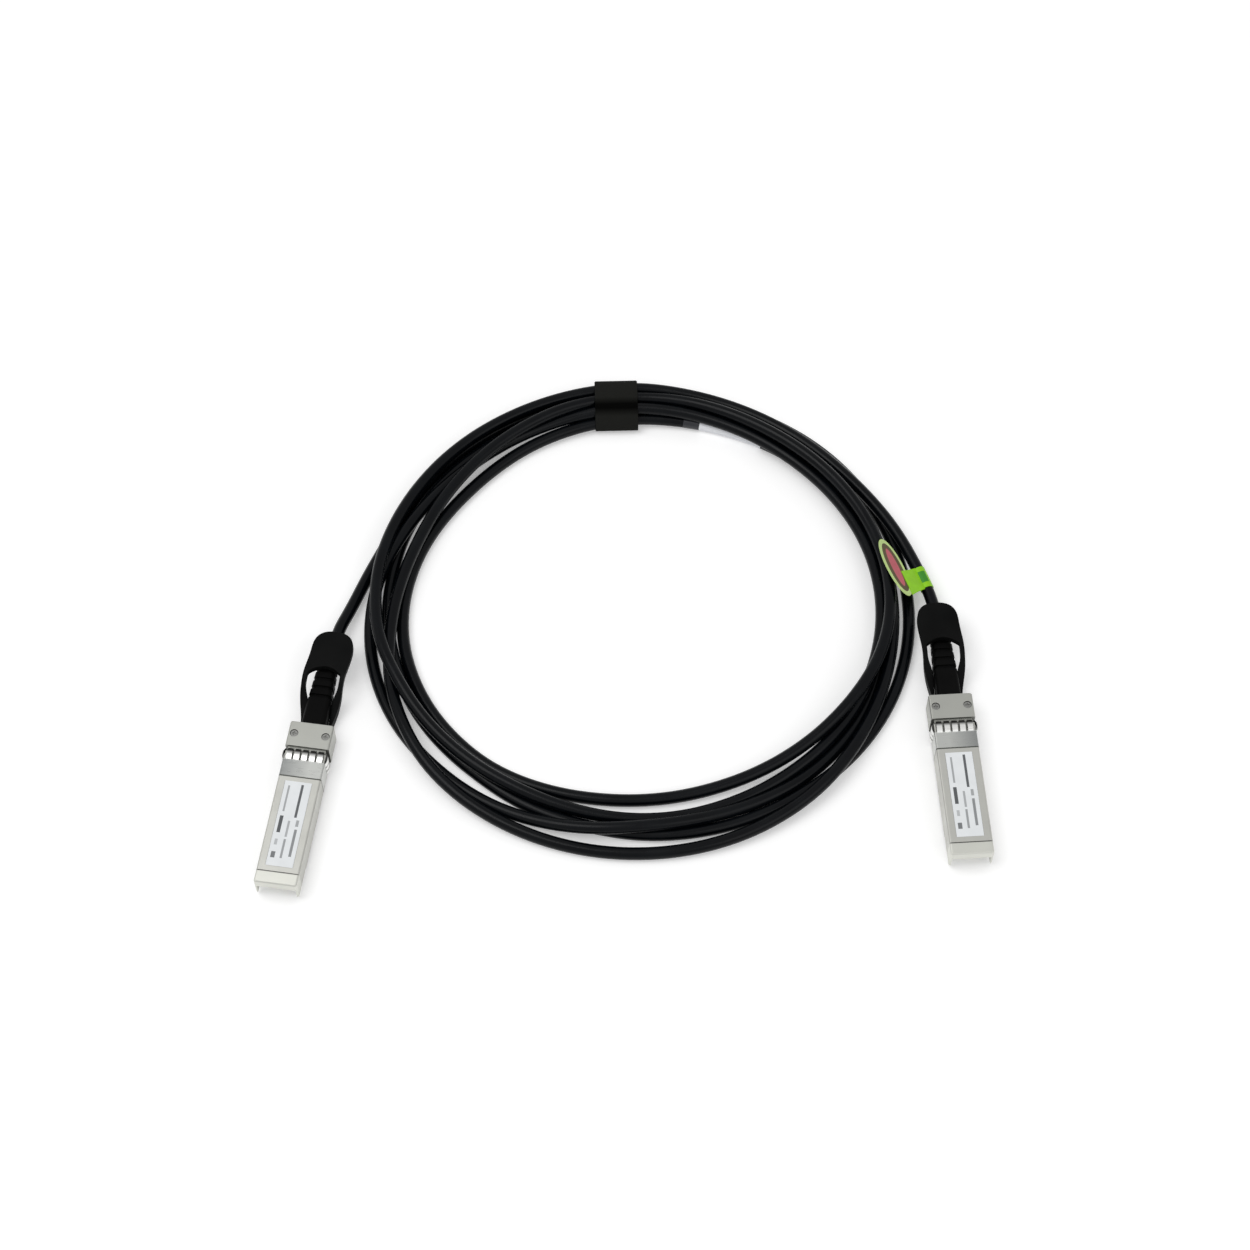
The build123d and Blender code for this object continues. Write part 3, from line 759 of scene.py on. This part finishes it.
wrap = sleeveOnCable("wrap_label", stretchOf(wrapLabel, "from", "to"), wrapLabel["radius"])
wrap.data.materials.append(finishes["label_paper"])
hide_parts("cable_label")
clearStretch = stretchOf(wrapLabel, "clearFrom", "clearTo")
wrapEnd = sleeveOnCable("wrap_label_end", clearStretch, wrapLabel["clearRadius"])
wrapEnd.data.materials.append(finishes["label_clear"])
for piece in (wrap, wrapEnd):
    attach(piece, "cable_and_plugs")
print("wrap label on")


# hook-and-loop tie: a strap drawn round the six passes, its end lapped over the back
def turnedOut(angle):
    return Vector((math.cos(math.radians(angle)), math.sin(math.radians(angle)), 0))


coilCentre = Vector((*cableLay["centre"], 0))
tieOut = turnedOut(tieStrap["angle"] + tieStrap["turn"])
tieAlong = Vector((-tieOut.y, tieOut.x, 0))
tieFoot = coilCentre + (turnedOut(tieStrap["angle"]) - tieOut) * tieStrap["middle"]


def strandsUnder(tie):  # (distance out, height) of the cable's line wherever the strap covers it
    strands = []
    for point in linePoints:
        spot = point / mm - tieFoot
        reach = spot.dot(tieOut)
        if reach > 0 and abs(spot.dot(tieAlong)) < tie["width"] / 2:
            strands.append((reach, spot.z))
    return strands


def runsAlong(outline):  # millimetres gone at each point
    return np.concatenate([[0], np.cumsum([math.dist(a, b) for a, b in zip(outline, outline[1:])])])


def strapOutline(tie):  # drawn tight round the strands, from below and outwards
    strands = strandsUnder(tie)
    hull = []
    for turn in np.linspace(-0.5 * math.pi, 1.5 * math.pi, tie["hullTurns"]):
        nx, nz = math.cos(turn), math.sin(turn)
        far = max(strands, key=lambda s: s[0] * nx + s[1] * nz)
        hull.append((far[0] + tie["hold"] * nx, far[1] + tie["hold"] * nz))
    runs = runsAlong(hull)
    even = np.linspace(0, runs[-1], tie["ringPoints"], endpoint=False)
    reach = np.interp(even, runs, [h[0] for h in hull])
    height = np.interp(even, runs, [h[1] for h in hull])
    sag = tie["dip"] * np.exp(-((reach - tie["dipReach"]) / tie["dipSpread"]) ** 2)
    middle = sum(s[1] for s in strands) / len(strands)
    return list(zip(reach, np.where(height > middle, height - sag, height)))


def growOutline(outline, grow):
    grown = []
    for index, (reach, height) in enumerate(outline):
        before, after = outline[index - 1], outline[(index + 1) % len(outline)]
        dx, dz = after[0] - before[0], after[1] - before[1]
        size = math.hypot(dx, dz)
        grown.append((reach + grow * dz / size, height - grow * dx / size))
    return grown


def strapBand(name, tie, outline, closed, width):
    clearSelection()
    bpy.ops.mesh.primitive_circle_add(vertices=len(outline), radius=1, calc_uvs=False)
    band = bpy.context.object
    band.name = name
    for vertex, (reach, height) in zip(band.data.vertices, outline):
        vertex.co = (tieFoot + tieOut * reach - tieAlong * (width / 2) + Vector((0, 0, height))) * mm
    if not closed:
        for edge in band.data.edges:
            edge.select = set(edge.vertices) == {0, len(outline) - 1}
        for vertex in band.data.vertices:
            vertex.select = vertex.index in (0, len(outline) - 1)
        bpy.ops.object.mode_set(mode="EDIT")
        bpy.ops.mesh.select_mode(type="EDGE")
        bpy.ops.mesh.delete(type="EDGE_FACE")
    bpy.ops.object.mode_set(mode="EDIT")
    bpy.ops.mesh.select_all(action="SELECT")
    for step in range(tie["steps"]):
        bpy.ops.mesh.extrude_region_move(
            TRANSFORM_OT_translate={"value": tieAlong * (width / tie["steps"]) * mm})
    bpy.ops.mesh.select_all(action="SELECT")
    bpy.ops.mesh.normals_make_consistent(inside=False)
    bpy.ops.object.mode_set(mode="OBJECT")
    return band


def strapUv(band, outline, width):  # millimetres round the strap and across it, for the weave
    runs = runsAlong(outline)
    total = runs[-1] + math.dist(outline[-1], outline[0])
    layer = band.data.uv_layers.new(name="strapUv")
    for face in band.data.polygons:
        marks = []
        for vertex in face.vertices:
            local = band.data.vertices[vertex].co / mm - tieFoot
            place = (local.dot(tieOut), local.z)
            nearest = min(range(len(outline)), key=lambda i: math.dist(outline[i], place))
            marks.append((runs[nearest], local.dot(tieAlong) + width / 2))
        far = max(run for run, slide in marks)
        for loop, (run, slide) in zip(face.loop_indices, marks):
            layer.data[loop].uv = (run + total if far - run > total / 2 else run, slide)


def finishStrap(tie, band):
    thicken(band, tie["thick"], 1.0, tie["rounding"], 2)
    bpy.ops.object.shade_smooth_by_angle(angle=math.radians(tie["edgeCrease"]))
    band.data.materials.append(finishes["tie_fabric"])
    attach(band, "cable_and_plugs")


def lappedEnd(tie, outline):
    grown = growOutline(outline, tie["thick"] + tie["lapGap"])
    step = runsAlong(outline)[-1] / len(outline)
    outmost = max(range(len(outline)), key=lambda i: outline[i][0])
    return grown[outmost - round(tie["lapBelow"] / step):outmost + round(tie["lapAbove"] / step) + 1]


strapLook = {
    "low": (0.006, 0.006, 0.0053),
    "high": (0.025, 0.0255, 0.023),
    # painted shade in the valley between the strands
    "valleyShade": (0.0012, 0.0012, 0.001),
    "valleyShadeSpread": (0.7, 3.2),   # mm from its middle where it is darkest, and where it ends
    "rough": 0.85,
    "gloss": 0.03,
    "sheen": 0.01,
    "sheenRough": 0.5,
    "pitch": 0.5,              # thread spacing in mm
    "knots": 0.35,
    "fuzz": 5.0,
    "depth": 0.00016,
    "strength": 0.8,
}


def makeStrapWeave(look, crease):  # crease: how far round the painted valley shade lies
    finish, tree, shader = newFinish("strapWeave", look["low"], look["rough"])
    shader.inputs["Specular IOR Level"].default_value = look["gloss"]
    shader.inputs["Sheen Weight"].default_value = look["sheen"]
    shader.inputs["Sheen Roughness"].default_value = look["sheenRough"]
    coords = coordsOf(tree, "UV")
    around, across = splitOf(tree, coords)[:2]
    rate = 2 * math.pi / look["pitch"]
    warp = mathOf(tree, "SINE", mathOf(tree, "MULTIPLY", around, rate))
    weft = mathOf(tree, "SINE", mathOf(tree, "MULTIPLY", across, rate))
    knots = mathOf(tree, "MULTIPLY", warp, weft)
    fuzz = noiseOf(tree, coords, look["fuzz"], 4.0, 0.7)
    height = mathOf(tree, "ADD", mathOf(tree, "MULTIPLY", knots, look["knots"]), fuzz)
    tone = blendOf(tree, rangeOf(tree, height, 0.0, 1.0, 0.0, 1.0), look["low"], look["high"])
    offValleyShade = mathOf(tree, "ABSOLUTE", mathOf(tree, "SUBTRACT", around, crease))
    # painted shade: darker along the valley between the strands
    tone = blendOf(tree, rangeOf(tree, offValleyShade, 1.0, 0.0, *look["valleyShadeSpread"]), tone, look["valleyShade"])
    tree.links.new(tone, shader.inputs["Base Color"])
    bumpOf(tree, shader, height, look["depth"], look["strength"])
    return finish


def valleyShadeRun(tie, outline):  # millimetres round the strap to the painted valley shade
    tops = [i for i, spot in enumerate(outline) if spot[1] > tie["press"]]
    return runsAlong(outline)[min(tops, key=lambda i: abs(outline[i][0] - tie["valleyShadeReach"]))]


ringOutline = strapOutline(tieStrap)
finishes["tie_fabric"] = makeStrapWeave(strapLook, valleyShadeRun(tieStrap, ringOutline))
strap = strapBand("tie_strap", tieStrap, ringOutline, True, tieStrap["width"])
strapUv(strap, ringOutline, tieStrap["width"])
finishStrap(tieStrap, strap)
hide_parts("hook_loop_tie")
lapOutline = lappedEnd(tieStrap, ringOutline)
lap = strapBand("tie_lap", tieStrap, lapOutline, False, tieStrap["width"] - tieStrap["lapNarrower"])
strapUv(lap, lapOutline, tieStrap["width"])
finishStrap(tieStrap, lap)
print("tie strapped")

# green tag: a film band round the right tail, a strip and an oval leaf
tagFilm = {
    "from": 17.0,          # mm behind the right plug's boot
    "bandLength": 8.4,
    "bandRadius": 2.2,
    "leavesAt": 0.7,       # share of that radius, to the side and up, where the film leaves the band
    "thick": 0.25,
    "rounding": 0.05,
    "tilt": 32.0,
    "slip": 4.2,           # leaf's middle, along the cable and up the film
    "reach": 8.2,
    "long": 23.0,
    "short": 7.9,
    "fieldScale": (0.85, 0.76),    # brown field inside the pale rim
    "heartScale": (0.78, 0.52),    # pink field inside the brown
    "fieldInset": 0.02,
    "leafPoints": 96,
    "stripGrid": (12, 8),
    "stripReach": 7.2,
    "stripFoot": 0.6,      # of it, tucked onto the band
    "stripFlare": 0.15,    # widens to the leaf
    "stripSkew": -2.2,     # runs to the leaf's near end
    "stripLift": 0.2,
    "printLong": 4.2,      # dark field on the band
    "printWide": 2.4,
    "lime": (0.30, 0.68, 0.010),
    "print": (0.045, 0.27, 0.02),
    "pale": (0.55, 0.72, 0.27),
    "brown": (0.105, 0.078, 0.030),
    "pink": (0.56, 0.125, 0.15),
}
filmLook = {
    "rough": (0.30, 0.45),
    "gloss": 0.3,
    "patches": 420.0,
    "dull": 0.86,
    "grain": 1200.0,
    "grainDepth": 0.00002,
    "grainStrength": 0.3,
}


def makeFilm(name, colour, printOn=None):
    look = filmLook
    finish, tree, shader = newFinish(name, colour, look["rough"][0])
    shader.inputs["Specular IOR Level"].default_value = look["gloss"]
    coords = coordsOf(tree)
    cloud = noiseOf(tree, coords, look["patches"], 4.0)
    dull = tuple(look["dull"] * c for c in colour)
    tone = blendOf(tree, rangeOf(tree, cloud, 0.0, 1.0), dull, colour)
    if printOn:
        place, turn, wide, long, ink = printOn
        across, along = splitOf(tree, coordsOf(tree, place=place, turn=turn, stretch=(mm, mm, mm)))[:2]
        shown = mathOf(tree, "MULTIPLY", withinOf(tree, along, -long / 2, long / 2),
                       withinOf(tree, across, -wide / 2, wide / 2))
        tone = blendOf(tree, shown, tone, ink)
    tree.links.new(tone, shader.inputs["Base Color"])
    tree.links.new(rangeOf(tree, cloud, *look["rough"]), shader.inputs["Roughness"])
    grain = noiseOf(tree, coords, look["grain"], 2.0)
    bumpOf(tree, shader, grain, look["grainDepth"], look["grainStrength"])
    return finish


def stretchFromRight(start, length):
    gone, points = 0.0, []
    backwards = linePoints[::-1]
    for a, b in zip(backwards, backwards[1:]):
        gone += (b - a).length / mm
        if start <= gone <= start + length:
            points.append(b)
    return points


def tagFrame(tag, points):  # from the top of the band: along the cable, up the film, out of the film
    ahead = points[-1] - points[0]
    ahead.z = 0
    ahead.normalize()
    leftward = Vector((-ahead.y, ahead.x, 0))
    tilt = math.radians(tag["tilt"])
    rise = leftward * math.cos(tilt) + Vector((0, 0, math.sin(tilt)))
    outward = tag["leavesAt"] * tag["bandRadius"] * mm
    foot = points[len(points) // 2] + Vector((0, 0, outward)) + leftward * outward
    turned = Matrix((ahead, rise, ahead.cross(rise))).transposed().to_4x4()
    return Matrix.Translation(foot) @ turned


def seatFilm(tag, piece, place):
    piece.data.transform(place)
    thicken(piece, tag["thick"], 0.0, tag["rounding"], 1)
    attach(piece, "cable_and_plugs")


def makeLeaf(tag):
    clearSelection()
    bpy.ops.mesh.primitive_circle_add(vertices=tag["leafPoints"], radius=1, fill_type="NGON")
    leaf = bpy.context.object
    leaf.name = "tag_leaf"
    for name in ("pale", "brown", "pink"):
        leaf.data.materials.append(makeFilm("tag" + name.title(), tag[name]))
    for vertex in leaf.data.vertices:
        vertex.co = (vertex.co.x * tag["long"] / 2 * mm, vertex.co.y * tag["short"] / 2 * mm, 0)
    bpy.ops.object.mode_set(mode="EDIT")
    bpy.ops.mesh.select_all(action="SELECT")
    for field, scale in ((1, tag["fieldScale"]), (2, tag["heartScale"])):
        bpy.ops.mesh.inset(thickness=tag["fieldInset"] * mm)
        bpy.ops.transform.resize(value=(*scale, 1))
        leaf.active_material_index = field
        bpy.ops.object.material_slot_assign()
    bpy.ops.mesh.poke()
    bpy.ops.object.mode_set(mode="OBJECT")
    return leaf


def makeStrip(tag):
    clearSelection()
    columns, rows = tag["stripGrid"]
    bpy.ops.mesh.primitive_grid_add(x_subdivisions=columns, y_subdivisions=rows, size=1)
    strip = bpy.context.object
    strip.name = "tag_strip"
    for vertex in strip.data.vertices:
        along, up = vertex.co.x, vertex.co.y + 0.5
        flare = 1.0 + tag["stripFlare"] * up ** 2
        slid = along * tag["bandLength"] * flare + tag["stripSkew"] * up
        vertex.co = Vector((slid, up * tag["stripReach"] - tag["stripFoot"], tag["stripLift"])) * mm
    return strip


tagPoints = stretchFromRight(tagFilm["from"], tagFilm["bandLength"])
tagPlace = tagFrame(tagFilm, tagPoints)
ahead = tagPoints[-1] - tagPoints[0]
limePrint = (tagPoints[len(tagPoints) // 2], math.degrees(math.atan2(ahead.y, ahead.x)) - 90,
             tagFilm["printWide"], tagFilm["printLong"], tagFilm["print"])
finishes["tag_green"] = makeFilm("tagLime", tagFilm["lime"], limePrint)
band = sleeveOnCable("tag_band", tagPoints, tagFilm["bandRadius"])
band.data.materials.append(finishes["tag_green"])
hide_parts("flag_tag")
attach(band, "cable_and_plugs")
leaf = makeLeaf(tagFilm)
leafSpot = Matrix.Translation(Vector((tagFilm["slip"], tagFilm["reach"], 0)) * mm)
seatFilm(tagFilm, leaf, tagPlace @ leafSpot)
strip = makeStrip(tagFilm)
strip.data.materials.append(finishes["tag_green"])
seatFilm(tagFilm, strip, tagPlace)
print("tag on")

# pull tabs: a soft loop with a broad pad over the boot and two arms down to the release slider
pullTab = {
    "footFront": -0.5,
    "footRear": -4.0,
    "footInner": 3.98,
    "footOuter": 4.75,
    "taper": 0.02,         # the arms follow the boot's narrowing sides
    "bowFrom": -9.0,       # and leave them here
    "bowTo": -14.5,
    "swellTo": -12.5,
    "armInner": 5.25,
    "armOuter": 6.6,
    "archSide": -17.8,
    "archTop": -20.2,
    "domeFrom": -26.6,
    "padEnd": -33.2,
    "domeSquare": 2.5,     # 2 is an ellipse, more is squarer
    "footLow": 0.05,
    "footHigh": 3.15,
    "padLow": 7.9,
    "padHigh": 10.0,
    "riseTo": -19.0,
    "lean": {"left": 1.0, "right": -0.7},   # the soft pads lean to the cable
    "armRows": 16,
    "padRows": 12,
    "columns": 10,
    "armShare": 0.6,       # grid lines from here out are the arms
    "rounding": 0.6,
    "edgeSteps": 3,
    "edgeCrease": 50.0,
}


def easeBetween(value, start, end):
    share = min(max((value - start) / (end - start), 0.0), 1.0)
    return share * share * (3 - 2 * share)


def tabOutline(tab, x):  # inner and outer half width of the loop
    bow = easeBetween(x, tab["bowFrom"], tab["bowTo"])
    swell = easeBetween(x, tab["footFront"], tab["swellTo"])
    along = tab["footInner"] + tab["taper"] * max(x, tab["bowTo"])
    inner = along + bow * (tab["armInner"] - along)
    return inner, tab["footOuter"] + swell * (tab["armOuter"] - tab["footOuter"])


def tabPoint(tab, row, side):  # row counts from the feet to the pad's end, side runs from -1 to 1
    share = abs(side)
    arch = tab["archTop"] + (tab["archSide"] - tab["archTop"]) * min(share / tab["armShare"], 1.0) ** 2
    x = tab["footFront"] + (arch - tab["footFront"]) * min(row / tab["armRows"], 1.0)
    inner, outer = tabOutline(tab, x)
    if share > tab["armShare"]:
        half = inner + (outer - inner) * (share - tab["armShare"]) / (1 - tab["armShare"])
    else:
        half = inner * share / tab["armShare"]
    y = math.copysign(half, side)
    if row > tab["armRows"]:
        onward = (row - tab["armRows"]) / tab["padRows"]
        turn = side * math.pi / 2
        power = 2 / tab["domeSquare"]
        domeX = tab["domeFrom"] + (tab["padEnd"] - tab["domeFrom"]) * max(math.cos(turn), 0.0) ** power
        domeY = math.copysign(tab["armOuter"] * abs(math.sin(turn)) ** power, side)
        x += onward * (domeX - x)
        y += onward * (domeY - y)
    return x, y


def tabHeights(tab, x):
    rise = easeBetween(x, tab["footRear"], tab["riseTo"])
    low = tab["footLow"] + rise * (tab["padLow"] - tab["footLow"])
    return low, tab["footHigh"] + rise * (tab["padHigh"] - tab["footHigh"])


def makePullTab(tab, side):
    rows = tab["armRows"] + tab["padRows"]
    clearSelection()
    bpy.ops.mesh.primitive_grid_add(x_subdivisions=rows, y_subdivisions=tab["columns"], size=2)
    loop = bpy.context.object
    loop.name = side + "_pull_loop"
    bpy.ops.object.mode_set(mode="EDIT")
    bpy.ops.mesh.select_mode(type="FACE")
    bpy.ops.mesh.select_all(action="DESELECT")
    bpy.ops.object.mode_set(mode="OBJECT")
    for face in loop.data.polygons:   # the window between the arms
        onArmRow = (face.center.x + 1) / 2 * rows < tab["armRows"]
        face.select = onArmRow and abs(face.center.y) < tab["armShare"]
    bpy.ops.object.mode_set(mode="EDIT")
    bpy.ops.mesh.delete(type="FACE")
    bpy.ops.object.mode_set(mode="OBJECT")
    for vertex in loop.data.vertices:
        x, y = tabPoint(tab, (vertex.co.x + 1) / 2 * rows, vertex.co.y)
        y += tab["lean"][side] * easeBetween(x, tab["bowTo"], tab["domeFrom"])
        vertex.co = (x, y, tabHeights(tab, x)[1])
    bpy.ops.object.mode_set(mode="EDIT")
    bpy.ops.mesh.select_all(action="SELECT")
    bpy.ops.mesh.extrude_region_move(TRANSFORM_OT_translate={"value": (0, 0, -1)})
    bpy.ops.object.mode_set(mode="OBJECT")
    for vertex in loop.data.vertices:
        if vertex.select:
            vertex.co.z = tabHeights(tab, vertex.co.x)[0]
    bpy.ops.object.mode_set(mode="EDIT")
    bpy.ops.mesh.select_all(action="SELECT")
    bpy.ops.mesh.normals_make_consistent(inside=False)
    bpy.ops.object.mode_set(mode="OBJECT")
    loop.data.transform(plugMatrix(side) @ Matrix.Scale(mm, 4))
    soft = loop.modifiers.new("softEdge", "BEVEL")
    soft.width = tab["rounding"] * mm
    soft.segments = tab["edgeSteps"]
    soft.limit_method = "ANGLE"
    soft.angle_limit = math.radians(tab["edgeCrease"])
    smooth = loop.modifiers.new("smooth", "SUBSURF")
    smooth.levels = smooth.render_levels = 1
    applyAll(loop)
    bpy.ops.object.shade_smooth()
    loop.data.materials.append(finishes["tab_plastic"])
    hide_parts(side + "_pull_tab")
    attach(loop, side + "_release")


for side in plugPlace:
    makePullTab(pullTab, side)
print("pull tabs made")

returnSpring = {  # under the ferrule
    "from": 2.74,          # mm from the plug's rear face
    "to": 7.96,
    "radius": 0.435,
    "wire": 0.18,
    "turns": 7,
    "perTurn": 12,
    "smoothness": 2,
    "sides": 2,
    "crease": 60.0,
    "keep": 0.53,
}


def makeReturnSpring(spring, side):
    low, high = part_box(side + "_return_spring")
    axis = (low[2] + high[2]) / 2 / mm - plugLift
    count = spring["turns"] * spring["perTurn"] + 1
    points = []
    for index in range(count):
        turn = 2 * math.pi * index / spring["perTurn"]
        x = spring["from"] + (spring["to"] - spring["from"]) * index / (count - 1)
        points.append((x, spring["radius"] * math.cos(turn), axis + spring["radius"] * math.sin(turn)))
    coil = roundLine(side + "_coil_spring", "NURBS", points, spring["wire"] / 2, spring["sides"],
                     spring["smoothness"])
    toMesh(coil, spring["crease"])
    coil.data.transform(plugMatrix(side) @ Matrix.Scale(mm, 4))
    coil.data.materials.append(finishes["spring_steel"])
    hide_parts(side + "_return_spring")
    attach(coil, "cable_and_plugs")
    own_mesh(coil)


for side in plugPlace:
    makeReturnSpring(returnSpring, side)
print("return springs wound")

# finishes for the carried-over solids
for part in frame["record"]["subparts"]:
    slot, side = part["material_slot"], part["node"].split("_")[0]
    finish = plugFinishes.get(side, {}).get(slot) or finishes[slot]
    for holder in nodes[part["node"]].material_slots:
        holder.material = finish
print("solids dressed")
